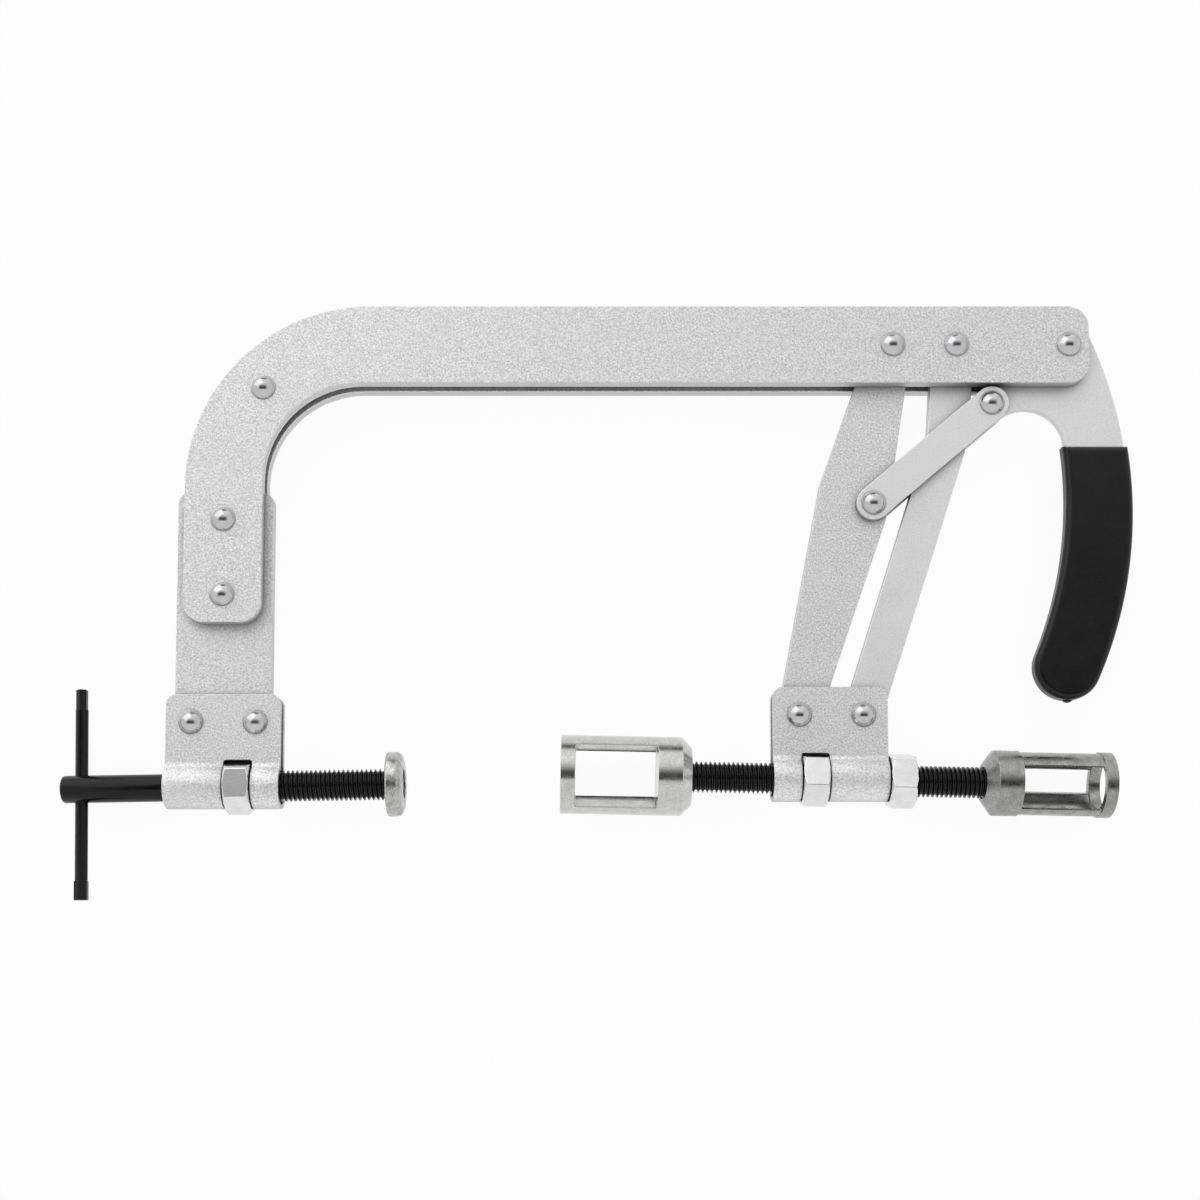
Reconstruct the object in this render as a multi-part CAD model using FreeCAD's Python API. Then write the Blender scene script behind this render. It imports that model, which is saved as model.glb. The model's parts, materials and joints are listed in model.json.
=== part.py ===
import FreeCAD, Part
import math
import os

# C-frame valve spring compressor, lying flat: the plates are parallel to XY and Z is up.
# The tool's mid-plane is Z = 0 while it is drawn, and ORIGIN, its bottom centre, is taken off at the end.
# All sizes are in millimetres.

Vector = FreeCAD.Vector
X_AXIS = Vector(1, 0, 0)
Y_AXIS = Vector(0, 1, 0)
Z_AXIS = Vector(0, 0, 1)

# Clearances
FIT = 0.05
PLATE_PLAY = 0.1
SEAT_GAP = 0.15
END_GAP = 0.3

# Plate stack: two frame plates with a gap for the arms and the handle between them
PLATE_T = 5.0
STACK_GAP = 5.0
LINK_T = 3.0
MOVING_T = STACK_GAP - 2 * PLATE_PLAY
GAP_Z = STACK_GAP / 2
FRAME_Z = GAP_Z + PLATE_T
LINK_Z = GAP_Z + LINK_T

# C-frame
BAR_TOP_Y = 112.0
BAR_H = 30.0
BAR_END_X = 187.6
LEG_X = -158.7
LEG_W = 29.7
LEG_END_Y = -10.9
BEND_OUTER_R = 70.4
BEND_INNER_R = 37.2
PLATE_CORNER_R = 8.0
SPACER_R = 8.5

# Leg extension
EXT_W = 36.7
EXT_TOP_Y = 40.3
EXT_CORNER_R = 4.0
EXT_NUT_GAP = 0.7

# Rivets
RIVET_R = 2.7
RIVET_HEAD_R = 4.7
RIVET_HEAD_H = 3.0
RIVET_RIM_H = 0.5
CORNER_RIVET_DX = 29.4
CORNER_RIVET_DROP = 31.9
LEG_RIVET_UPPER_Y = 28.9
LEG_RIVET_PITCH = 29.0
ARM_RIVET_PITCH = 24.4

# Linkage pivots
PIVOT_DROP = 14.9
INNER_PIVOT_X = 112.3
ARM_DX = -36.9
ARM_DY = -142.9
HANDLE_PIVOT_INSET = 7.7
LINK_ARM_PIVOT = (104.5, 35.8)
LINK_HANDLE_PIVOT = (150.5, 74.9)

# Arms
INNER_ARM_TOP_R = 8.0
INNER_ARM_FOOT_R = 7.8
INNER_ARM_KNEE_R = 12.0
INNER_KNEE_LEFT = (96.2, 40.8)
INNER_KNEE_RIGHT = (98.1, 33.2)
OUTER_ARM_TOP_R = 8.3
OUTER_ARM_KNEE_R = 7.6
OUTER_ARM_FOOT_R = 7.2
OUTER_KNEE = (133.6, 59.8)
LINK_R = 6.45

# Handle: round head, lug and tip joined by long arcs; the grip is the same form with a wall added
HANDLE_HEAD_R = 10.7
HANDLE_LUG_R = 6.4
HANDLE_TIP = (178.4, -27.0)
HANDLE_TIP_R = 11.3
HANDLE_OUTER_R = 164.3
HANDLE_INNER_R = 160.9
ARCH_R = 15.0
ARCH_HEADING = -49.2
GRIP_WALL = 1.5
GRIP_TOP_Y = 58.7
GRIP_EDGE_R = 2.4
NUB_R = 2.6
NUB_OUT = 0.9

# Folded brackets with a barrel for the screw
SHEET_T = 1.9
BARREL_PLAY = 0.7
BARREL_BEND_R = 3.0
BRACKET_CORNER_R = 4.0
RIVET_INSET = 9.65
RIVET_TO_AXIS = 24.3
RIVET_TO_TOP = 10.65
WINDOW_OFFSET = 5.8
WINDOW_CORNER_R = 1.0
ANVIL_SHIFT = 0.55
ANVIL_RIVET_Y = -48.6
ANVIL_NUT_TURN = -26.3
JAW_SHIFT = 0.5
JAW_NUT_TURN = -16.8
JAM_NUT_TURN = -18.5
NUT_PLAY = 0.4

# Each screw leans a little in its barrel, because only its nut holds it
SPINDLE_LEAN = 0.93
ROD_LEAN = -1.18

# Screws and nuts
THREAD_R = 6.0
NUT_AF = 19.0
NUT_H = 10.0
NUT_CHAMFER = 30.0
NUT_FACE_INSET = 0.3
THREAD_CHAMFER = 1.0

# Spindle
SPINDLE_END_X = -204.7
SHANK_R = 5.25
SHANK_CHAMFER = 0.8
THREAD_START_X = -164.4
PAD_BACK_X = -81.2
NECK_R = 3.2
NECK_PLAY = 0.1
PEEN_R = 4.2
PEEN_H = 1.6

# Swivel pad
PAD_R = 12.3
PAD_RIM_T = 3.8
PAD_DOME_H = 2.6
PAD_FLAT_R = 8.2
PAD_RECESS_R = 5.6
PAD_RECESS_DEPTH = 2.2
PAD_EDGE_R = 1.0

# Tommy bar
TOMMY_R = 2.4
TOMMY_X = -197.7
TOMMY_TOP_Y = -34.8
TOMMY_LOW_Y = -115.2
CRIMP_TOP_L = 7.7
CRIMP_LOW_L = 7.3
CRIMP_TOP_HALF_W = 1.97
CRIMP_TOP_HALF_T = 2.9
CRIMP_LOW_HALF_W = 2.5
CRIMP_LOW_HALF_T = 2.9
CRIMP_FACE = 0.45

# Adapters: tube with an open mouth, two opposite windows and a closed base on the rod
ROD_PLAY = 0.08
SOCKET_DEPTH = 10.5
BORE_RELIEF = 0.3
LARGE = {"mouth_x": -15.2, "toward": -1, "outer_r": 15.0, "bore_r": 12.0, "ring": 5.5, "window": 31.0,
         "base": 9.2, "nose": 3.8, "nose_r": 11.3, "relief": 0.0, "slot_front": 11.8, "slot_rear": 8.9,
         "turn": 10.0}
SMALL = {"mouth_x": 193.5, "toward": 1, "outer_r": 12.5, "bore_r": 9.5, "ring": 4.5, "window": 30.6,
         "base": 9.3, "nose": 3.8, "nose_r": 7.4, "relief": 0.5, "slot_front": 8.3, "slot_rear": 4.6,
         "turn": -14.5}

# Places worked out from the sizes above
LEG_MID_X = LEG_X + LEG_W / 2
CORNER_RIVET = (LEG_X + CORNER_RIVET_DX, BAR_TOP_Y - CORNER_RIVET_DROP)
INNER_PIVOT = (INNER_PIVOT_X, BAR_TOP_Y - PIVOT_DROP)
HANDLE_PIVOT = (BAR_END_X - HANDLE_PIVOT_INSET, BAR_TOP_Y - PIVOT_DROP)
INNER_FOOT = (INNER_PIVOT[0] + ARM_DX, INNER_PIVOT[1] + ARM_DY)
OUTER_PIVOT = (INNER_PIVOT[0] + ARM_RIVET_PITCH, INNER_PIVOT[1])
OUTER_FOOT = (INNER_FOOT[0] + ARM_RIVET_PITCH, INNER_FOOT[1])
LEG_RIVET_UPPER = (LEG_MID_X, LEG_RIVET_UPPER_Y)
LEG_RIVET_LOWER = (LEG_MID_X, LEG_RIVET_UPPER_Y - LEG_RIVET_PITCH)
ANVIL_MID_X = LEG_MID_X + ANVIL_SHIFT
BRACKET_L = ARM_RIVET_PITCH + 2 * RIVET_INSET
ANVIL_RIVETS = [(ANVIL_MID_X + side * ARM_RIVET_PITCH / 2, ANVIL_RIVET_Y) for side in (-1, 1)]
ANVIL_AXIS_Y = ANVIL_RIVET_Y - RIVET_TO_AXIS
ANVIL_WINDOW_X = ANVIL_MID_X + WINDOW_OFFSET
JAW_MID_X = (INNER_FOOT[0] + OUTER_FOOT[0]) / 2 - JAW_SHIFT
JAW_AXIS_Y = INNER_FOOT[1] - RIVET_TO_AXIS
JAW_WINDOW_X = JAW_MID_X - WINDOW_OFFSET
BARREL_BORE_R = THREAD_R + BARREL_PLAY
BARREL_R = BARREL_BORE_R + SHEET_T
FLAP_Z = GAP_Z + SHEET_T
NUT_CORNER_R = NUT_AF / math.sqrt(3)
EXT_END_Y = ANVIL_AXIS_Y + NUT_CORNER_R + EXT_NUT_GAP
THREAD_END_X = PAD_BACK_X - SEAT_GAP
JAM_NUT_X = JAW_MID_X + BRACKET_L / 2 + NUT_PLAY
WINDOW_HALF = NUT_H / 2 + NUT_PLAY
ANVIL_NUT = (ANVIL_WINDOW_X, ANVIL_AXIS_Y)
JAW_NUT = (JAW_WINDOW_X, JAW_AXIS_Y)


def point(place, z=0.0):
    return Vector(place[0], place[1], z)


def polar(centre, radius, angle):
    turn = math.radians(angle)
    return (centre[0] + radius * math.cos(turn), centre[1] + radius * math.sin(turn))


def heading(start, end):
    return math.degrees(math.atan2(end[1] - start[1], end[0] - start[0]))


def distance(start, end):
    return math.hypot(end[0] - start[0], end[1] - start[1])


def meeting(centre_a, radius_a, centre_b, radius_b, side):
    """Where two circles cross: side is +1 to the left of the way from a to b, -1 to the right."""
    span = distance(centre_a, centre_b)
    bend = math.degrees(math.acos((radius_a**2 + span**2 - radius_b**2) / (2 * radius_a * span)))
    return polar(centre_a, radius_a, heading(centre_a, centre_b) + side * bend)


def arc(centre, radius, start, end):
    """Arc from one angle to another, anticlockwise when end is the larger."""
    ends = [point(polar(centre, radius, angle)) for angle in (start, (start + end) / 2, end)]
    return Part.Arc(*ends).toShape()


def line(start, end):
    return Part.LineSegment(point(start), point(end)).toShape()


def plate(edges, thickness, z_middle=0.0):
    """Flat plate from a closed outline, centred on z_middle."""
    face = Part.Face(Part.Wire(Part.__sortEdges__(edges)))
    solid = face.extrude(Vector(0, 0, thickness))
    solid.translate(Vector(0, 0, z_middle - thickness / 2))
    return solid


def rounded_outline(corners):
    """Closed outline through (x, y, radius) corners, each rounded by a tangent arc."""
    edges = []
    ends = []
    for index, (x, y, radius) in enumerate(corners):
        before = corners[index - 1]
        after = corners[(index + 1) % len(corners)]
        back = heading((x, y), before)
        ahead = heading((x, y), after)
        half = math.radians(((ahead - back + 180) % 360 - 180) / 2)
        reach = radius / abs(math.tan(half))
        middle = polar((x, y), radius / abs(math.sin(half)), back + math.degrees(half))
        entry = polar((x, y), reach, back)
        leave = polar((x, y), reach, ahead)
        crest = polar(middle, radius, heading(middle, (x, y)))
        edges.append(Part.Arc(point(entry), point(crest), point(leave)).toShape())
        ends.append((entry, leave))
    for index in range(len(ends)):
        edges.append(line(ends[index - 1][1], ends[index][0]))
    return edges


def belt(circles):
    """Closed outline round (x, y, radius) circles, taken anticlockwise, with tangent straights."""
    normals = []
    for index, (x, y, radius) in enumerate(circles):
        next_x, next_y, next_radius = circles[(index + 1) % len(circles)]
        span = distance((x, y), (next_x, next_y))
        slant = math.degrees(math.acos((radius - next_radius) / span))
        normals.append(heading((x, y), (next_x, next_y)) - slant)
    edges = []
    for index, (x, y, radius) in enumerate(circles):
        arrive = normals[index - 1]
        leave = arrive + (normals[index] - arrive) % 360
        edges.append(arc((x, y), radius, arrive, leave))
        next_x, next_y, next_radius = circles[(index + 1) % len(circles)]
        edges.append(line(polar((x, y), radius, leave), polar((next_x, next_y), next_radius, leave)))
    return edges


def drill(solid, places, radius):
    """Round holes through a flat piece, along Z."""
    for place in places:
        depth = 8 * FRAME_Z
        solid = solid.cut(Part.makeCylinder(radius, depth, point(place, -depth / 2), Z_AXIS))
    return solid


def turned(profile, axis_y=0.0):
    """Solid of revolution about X from (x, radius) points."""
    points = [Vector(x, radius, 0) for x, radius in profile]
    face = Part.Face(Part.makePolygon(points + points[:1]))
    solid = face.revolve(Vector(0, 0, 0), X_AXIS, 360)
    solid.translate(Vector(0, axis_y, 0))
    return solid


def lean(solid, place, angle):
    """Turn a piece in the drawing plane about the middle of its nut."""
    solid.rotate(point(place), Z_AXIS, angle)
    return solid


def nut_height(turn, depth):
    """How far the nut reaches up from the screw's axis at a depth from the mid-plane."""
    corners = []
    for index in range(6):
        angle = math.radians(turn + 60 * index)
        corners.append((NUT_CORNER_R * math.sin(angle), NUT_CORNER_R * math.cos(angle)))
    heights = []
    for index, (y, z) in enumerate(corners):
        next_y, next_z = corners[(index + 1) % 6]
        if min(z, next_z) <= depth <= max(z, next_z):
            heights.append(y + (next_y - y) * (depth - z) / (next_z - z))
    return max(heights)


def rivet_head(place, seat_z, side):
    """Round head on a plate face: side is +1 above the face and -1 below it."""
    dome_h = RIVET_HEAD_H - RIVET_RIM_H
    dome_r = (RIVET_HEAD_R**2 + dome_h**2) / (2 * dome_h)
    rim = Part.makeCylinder(RIVET_HEAD_R, RIVET_HEAD_H, point((0, 0)), Z_AXIS)
    ball = Part.makeSphere(dome_r, point((0, 0), RIVET_HEAD_H - dome_r))
    head = rim.common(ball)
    if side < 0:
        head.rotate(Vector(0, 0, 0), X_AXIS, 180)
    head.translate(point(place, seat_z))
    return head


def rivet(place, half_grip):
    """Rivet with a round head at each side of a stack that is centred on the mid-plane."""
    shank = Part.makeCylinder(RIVET_R, 2 * half_grip, point(place, -half_grip), Z_AXIS)
    upper = rivet_head(place, half_grip, 1)
    lower = rivet_head(place, -half_grip, -1)
    return shank.fuse([upper, lower]).removeSplitter()


def half_rivet(place, side):
    """Head and shank of one side of the link's handle rivet, as long as the link is thick."""
    foot_z = GAP_Z if side > 0 else -LINK_Z
    shank = Part.makeCylinder(RIVET_R, LINK_T, point(place, foot_z), Z_AXIS)
    return shank.fuse(rivet_head(place, side * LINK_Z, side)).removeSplitter()


def frame_plate(side):
    """One of the two matching C-frame plates."""
    inside_x = LEG_X + LEG_W
    inside_y = BAR_TOP_Y - BAR_H
    corners = [(BAR_END_X, BAR_TOP_Y, PLATE_CORNER_R), (LEG_X, BAR_TOP_Y, BEND_OUTER_R),
               (LEG_X, LEG_END_Y, PLATE_CORNER_R), (inside_x, LEG_END_Y, PLATE_CORNER_R),
               (inside_x, inside_y, BEND_INNER_R), (BAR_END_X, inside_y, PLATE_CORNER_R)]
    solid = plate(rounded_outline(corners), PLATE_T, side * (GAP_Z + PLATE_T / 2))
    holes = [CORNER_RIVET, LEG_RIVET_UPPER, LEG_RIVET_LOWER, INNER_PIVOT, OUTER_PIVOT, HANDLE_PIVOT]
    return drill(solid, holes, RIVET_R + FIT)


def corner_spacer():
    """Round distance piece that keeps the frame plates apart at the bend."""
    solid = Part.makeCylinder(SPACER_R, STACK_GAP, point(CORNER_RIVET, -GAP_Z), Z_AXIS)
    return drill(solid, [CORNER_RIVET], RIVET_R + FIT)


def leg_extension():
    """Flat bar between the frame plates that carries the anvil bracket."""
    left = LEG_MID_X - EXT_W / 2
    right = LEG_MID_X + EXT_W / 2
    corners = [(right, EXT_TOP_Y, EXT_CORNER_R), (left, EXT_TOP_Y, EXT_CORNER_R),
               (left, EXT_END_Y, EXT_CORNER_R), (right, EXT_END_Y, EXT_CORNER_R)]
    solid = plate(rounded_outline(corners), STACK_GAP)
    return drill(solid, [LEG_RIVET_UPPER, LEG_RIVET_LOWER] + ANVIL_RIVETS, RIVET_R + FIT)


def inner_arm():
    """Arm nearer the throat, widened where the link is riveted to it."""
    circles = [INNER_PIVOT + (INNER_ARM_TOP_R,), INNER_KNEE_LEFT + (INNER_ARM_KNEE_R,),
               INNER_FOOT + (INNER_ARM_FOOT_R,), INNER_KNEE_RIGHT + (INNER_ARM_KNEE_R,)]
    solid = plate(belt(circles), MOVING_T)
    return drill(solid, [INNER_PIVOT, INNER_FOOT, LINK_ARM_PIVOT], RIVET_R + FIT)


def outer_arm():
    """Cranked strip beside the inner arm: the two keep the jaw parallel."""
    knee = OUTER_KNEE + (OUTER_ARM_KNEE_R,)
    upper = plate(belt([OUTER_PIVOT + (OUTER_ARM_TOP_R,), knee]), MOVING_T)
    lower = plate(belt([knee, OUTER_FOOT + (OUTER_ARM_FOOT_R,)]), MOVING_T)
    solid = upper.fuse(lower).removeSplitter()
    return drill(solid, [OUTER_PIVOT, OUTER_FOOT], RIVET_R + FIT)


def link(side):
    """Toggle link between the inner arm and the handle, one on each side."""
    circles = [LINK_HANDLE_PIVOT + (LINK_R,), LINK_ARM_PIVOT + (LINK_R,)]
    solid = plate(belt(circles), LINK_T, side * (GAP_Z + LINK_T / 2))
    return drill(solid, [LINK_HANDLE_PIVOT, LINK_ARM_PIVOT], RIVET_R + FIT)


# The handle's arcs run into each other: each centre follows from the circles that its arc touches
ARCH_C = polar(LINK_HANDLE_PIVOT, HANDLE_LUG_R + ARCH_R, ARCH_HEADING)
HANDLE_OUTER_C = meeting(HANDLE_PIVOT, HANDLE_OUTER_R - HANDLE_HEAD_R, HANDLE_TIP, HANDLE_OUTER_R - HANDLE_TIP_R, -1)
HANDLE_INNER_C = meeting(ARCH_C, HANDLE_INNER_R - ARCH_R, HANDLE_TIP, HANDLE_INNER_R + HANDLE_TIP_R, -1)


def handle_plate():
    """Lever plate: pivot end, lug for the links, finger arch and the curved blade in the grip."""
    out_top = heading(HANDLE_OUTER_C, HANDLE_PIVOT)
    out_tip = heading(HANDLE_OUTER_C, HANDLE_TIP)
    in_tip = heading(HANDLE_INNER_C, HANDLE_TIP)
    in_arch = heading(HANDLE_INNER_C, ARCH_C)
    arch_lug = heading(ARCH_C, LINK_HANDLE_PIVOT)
    span = distance(HANDLE_PIVOT, LINK_HANDLE_PIVOT)
    slant = math.degrees(math.acos((HANDLE_HEAD_R - HANDLE_LUG_R) / span))
    back = heading(HANDLE_PIVOT, LINK_HANDLE_PIVOT) - slant + 360
    edges = [arc(HANDLE_OUTER_C, HANDLE_OUTER_R, out_tip, out_top),
             arc(HANDLE_PIVOT, HANDLE_HEAD_R, out_top, back),
             line(polar(HANDLE_PIVOT, HANDLE_HEAD_R, back), polar(LINK_HANDLE_PIVOT, HANDLE_LUG_R, back)),
             arc(LINK_HANDLE_PIVOT, HANDLE_LUG_R, back, arch_lug + 180),
             arc(ARCH_C, ARCH_R, arch_lug, in_arch),
             arc(HANDLE_INNER_C, HANDLE_INNER_R, in_arch, in_tip),
             arc(HANDLE_TIP, HANDLE_TIP_R, in_tip + 180, out_tip + 360)]
    solid = plate(edges, MOVING_T)
    return drill(solid, [HANDLE_PIVOT, LINK_HANDLE_PIVOT], RIVET_R + FIT)


def handle_grip(blade):
    """Dipped cover: the blade's form with a wall all round, open at the top."""
    outer_r = HANDLE_OUTER_R + GRIP_WALL
    inner_r = HANDLE_INNER_R - GRIP_WALL
    tip_r = HANDLE_TIP_R + GRIP_WALL
    out_tip = heading(HANDLE_OUTER_C, HANDLE_TIP)
    in_tip = heading(HANDLE_INNER_C, HANDLE_TIP)
    out_top = math.degrees(math.asin((GRIP_TOP_Y - HANDLE_OUTER_C[1]) / outer_r))
    in_top = math.degrees(math.asin((GRIP_TOP_Y - HANDLE_INNER_C[1]) / inner_r))
    edges = [arc(HANDLE_OUTER_C, outer_r, out_tip, out_top),
             line(polar(HANDLE_OUTER_C, outer_r, out_top), polar(HANDLE_INNER_C, inner_r, in_top)),
             arc(HANDLE_INNER_C, inner_r, in_top, in_tip),
             arc(HANDLE_TIP, tip_r, in_tip + 180, out_tip + 360)]
    cover = plate(edges, MOVING_T + 2 * GRIP_WALL)
    rims = [edge for edge in cover.Edges if abs(edge.BoundBox.ZLength) < 0.001]
    cover = cover.makeFillet(GRIP_EDGE_R, rims)
    nub = Part.makeSphere(NUB_R, point((HANDLE_TIP[0], HANDLE_TIP[1] - tip_r + NUB_R - NUB_OUT)))
    return cover.fuse(nub).removeSplitter().cut(blade)


def bracket(mid_x, axis_y, window_x, nut_turn, rivets):
    """Sheet folded round the screw: two flaps, and a barrel with a window for the captive nut."""
    barrel = Part.makeCylinder(BARREL_R, BRACKET_L, Vector(0, 0, 0), X_AXIS)
    height = RIVET_TO_AXIS + RIVET_TO_TOP
    flaps = Part.makeBox(BRACKET_L, height, 2 * FLAP_Z, Vector(0, 0, -FLAP_Z))
    tops = [edge for edge in flaps.Edges if edge.BoundBox.ZLength > FLAP_Z and edge.CenterOfMass.y > height / 2]
    body = flaps.makeFillet(BRACKET_CORNER_R, tops).fuse(barrel).removeSplitter()
    blend_y = math.sqrt(BARREL_R**2 - FLAP_Z**2)
    creases = []
    for edge in body.Edges:
        box = edge.BoundBox
        lengthwise = box.XLength > BRACKET_L - 1
        if lengthwise and abs(box.Center.y - blend_y) < 0.01 and abs(abs(box.Center.z) - FLAP_Z) < 0.01:
            creases.append(edge)
    body = body.makeFillet(BARREL_BEND_R, creases)
    body = body.cut(Part.makeCylinder(BARREL_BORE_R, BRACKET_L, Vector(0, 0, 0), X_AXIS))
    body = body.cut(Part.makeBox(BRACKET_L, height, STACK_GAP, Vector(0, 0, -GAP_Z)))
    body.translate(Vector(mid_x - BRACKET_L / 2, axis_y, 0))
    low = 2 * BARREL_R
    for depth, foot in ((GAP_Z, 0), (-GAP_Z, -low)):
        window_top = nut_height(nut_turn, depth) + NUT_PLAY
        window = Part.makeBox(2 * WINDOW_HALF, low + window_top, low,
                              Vector(window_x - WINDOW_HALF, axis_y - low, foot))
        uprights = [edge for edge in window.Edges
                    if edge.BoundBox.ZLength > low / 2 and edge.CenterOfMass.y > axis_y]
        body = body.cut(window.makeFillet(WINDOW_CORNER_R, uprights))
    return drill(body, rivets, RIVET_R + FIT)


def nut(start_x, axis_y, turn):
    """Hexagon nut along X, chamfered at both faces; turn is how far a corner is from straight up."""
    corners = []
    for index in range(7):
        angle = math.radians(turn + 60 * index)
        corners.append(Vector(0, NUT_CORNER_R * math.sin(angle), NUT_CORNER_R * math.cos(angle)))
    prism = Part.Face(Part.makePolygon(corners)).extrude(Vector(NUT_H, 0, 0))
    face_r = NUT_AF / 2 - NUT_FACE_INSET
    around_r = NUT_CORNER_R + NUT_FACE_INSET
    drop = (around_r - face_r) * math.tan(math.radians(NUT_CHAMFER))
    barrel = turned([(0, 0), (0, face_r), (drop, around_r), (NUT_H - drop, around_r),
                     (NUT_H, face_r), (NUT_H, 0)])
    solid = prism.common(barrel)
    solid = solid.cut(Part.makeCylinder(THREAD_R + FIT, NUT_H, Vector(0, 0, 0), X_AXIS))
    solid.translate(Vector(start_x, axis_y, 0))
    return solid


def spindle():
    """Screw with a plain shank, a cross hole, and a neck peened over inside the pad."""
    neck_end = PAD_BACK_X + PAD_RIM_T + PAD_DOME_H - PAD_RECESS_DEPTH + SEAT_GAP
    profile = [(SPINDLE_END_X, 0), (SPINDLE_END_X, SHANK_R - SHANK_CHAMFER),
               (SPINDLE_END_X + SHANK_CHAMFER, SHANK_R),
               (THREAD_START_X, SHANK_R), (THREAD_START_X + THREAD_CHAMFER, THREAD_R),
               (THREAD_END_X - THREAD_CHAMFER, THREAD_R), (THREAD_END_X, THREAD_R - THREAD_CHAMFER),
               (THREAD_END_X, NECK_R), (neck_end, NECK_R), (neck_end, PEEN_R),
               (neck_end + PEEN_H / 2, PEEN_R), (neck_end + PEEN_H, PEEN_R / 2), (neck_end + PEEN_H, 0)]
    solid = turned(profile, ANVIL_AXIS_Y)
    hole = Part.makeCylinder(TOMMY_R + FIT, 4 * SHANK_R, Vector(TOMMY_X, ANVIL_AXIS_Y - 2 * SHANK_R, 0), Y_AXIS)
    return solid.cut(hole)


def swivel_pad():
    """Thick round pad with a domed face and a recess for the peened spindle end."""
    rim_x = PAD_BACK_X + PAD_RIM_T
    face_x = rim_x + PAD_DOME_H
    floor_x = face_x - PAD_RECESS_DEPTH
    bore_r = NECK_R + NECK_PLAY
    shoulder = [(rim_x + 0.45 * PAD_DOME_H, PAD_R - 0.15 * (PAD_R - PAD_FLAT_R)),
                (rim_x + 0.85 * PAD_DOME_H, PAD_R - 0.6 * (PAD_R - PAD_FLAT_R))]
    profile = [(PAD_BACK_X, bore_r), (PAD_BACK_X, PAD_R - PAD_EDGE_R), (PAD_BACK_X + PAD_EDGE_R, PAD_R),
               (rim_x, PAD_R)] + shoulder + [(face_x, PAD_FLAT_R), (face_x, PAD_RECESS_R),
               (floor_x, PAD_RECESS_R), (floor_x, bore_r)]
    return turned(profile, ANVIL_AXIS_Y)


def crimp(start_y, length, half_w, half_t):
    """Squeezed end of the tommy bar: six-sided, with an edge towards each side of the tool."""
    section = [(half_w, half_t * CRIMP_FACE), (0, half_t), (-half_w, half_t * CRIMP_FACE),
               (-half_w, -half_t * CRIMP_FACE), (0, -half_t), (half_w, -half_t * CRIMP_FACE)]
    corners = [Vector(TOMMY_X + x, start_y, z) for x, z in section]
    return Part.Face(Part.makePolygon(corners + corners[:1])).extrude(Vector(0, length, 0))


def tommy_bar():
    """Sliding cross bar, kept in its hole by the squeezed ends."""
    low_end = TOMMY_LOW_Y + CRIMP_LOW_L
    top_end = TOMMY_TOP_Y - CRIMP_TOP_L
    bar = Part.makeCylinder(TOMMY_R, top_end - low_end, Vector(TOMMY_X, low_end, 0), Y_AXIS)
    lower = crimp(TOMMY_LOW_Y, CRIMP_LOW_L, CRIMP_LOW_HALF_W, CRIMP_LOW_HALF_T)
    upper = crimp(top_end, CRIMP_TOP_L, CRIMP_TOP_HALF_W, CRIMP_TOP_HALF_T)
    return bar.fuse([lower, upper]).removeSplitter()


def adapter_length(sizes):
    return sizes["ring"] + sizes["window"] + sizes["base"] + sizes["nose"]


def adapter_seat(sizes):
    """Where the rod's end stands inside the adapter's socket."""
    nose_x = sizes["mouth_x"] - sizes["toward"] * adapter_length(sizes)
    return nose_x + sizes["toward"] * (SOCKET_DEPTH - END_GAP)


def adapter(sizes):
    """Tubular adapter for the spring retainer, drawn from its mouth at X = 0 to its nose."""
    length = adapter_length(sizes)
    outer_r = sizes["outer_r"]
    bore_end = sizes["ring"] + sizes["window"]
    tube_r = sizes["bore_r"] + BORE_RELIEF
    profile = [(0, sizes["bore_r"]), (0, outer_r), (bore_end + sizes["base"], outer_r),
               (length, sizes["nose_r"]), (length, 0), (bore_end, 0), (bore_end, tube_r),
               (sizes["ring"], tube_r), (sizes["ring"], sizes["bore_r"])]
    solid = turned(profile)
    if sizes["relief"]:
        body_r = outer_r - sizes["relief"]
        waist = turned([(sizes["ring"], body_r), (sizes["ring"], 2 * outer_r),
                        (bore_end, 2 * outer_r), (bore_end, body_r)])
        solid = solid.cut(waist)
    socket = Part.makeCylinder(THREAD_R + ROD_PLAY, SOCKET_DEPTH, Vector(length - SOCKET_DEPTH, 0, 0), X_AXIS)
    solid = solid.cut(socket)
    for half, foot in ((sizes["slot_front"], 0), (sizes["slot_rear"], -2 * outer_r)):
        slot = Part.makeBox(sizes["window"], 2 * half, 2 * outer_r, Vector(sizes["ring"], -half, foot))
        solid = solid.cut(slot)
    solid.rotate(Vector(0, 0, 0), X_AXIS, sizes["turn"])
    if sizes["toward"] > 0:
        solid.rotate(Vector(0, 0, 0), Z_AXIS, 180)
    solid.translate(Vector(sizes["mouth_x"], JAW_AXIS_Y, 0))
    return solid


def threaded_rod():
    """Screw between the two adapters, with chamfered ends."""
    start = adapter_seat(LARGE)
    end = adapter_seat(SMALL)
    small_r = THREAD_R - THREAD_CHAMFER
    profile = [(start, 0), (start, small_r), (start + THREAD_CHAMFER, THREAD_R),
               (end - THREAD_CHAMFER, THREAD_R), (end, small_r), (end, 0)]
    return turned(profile, JAW_AXIS_Y)


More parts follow.
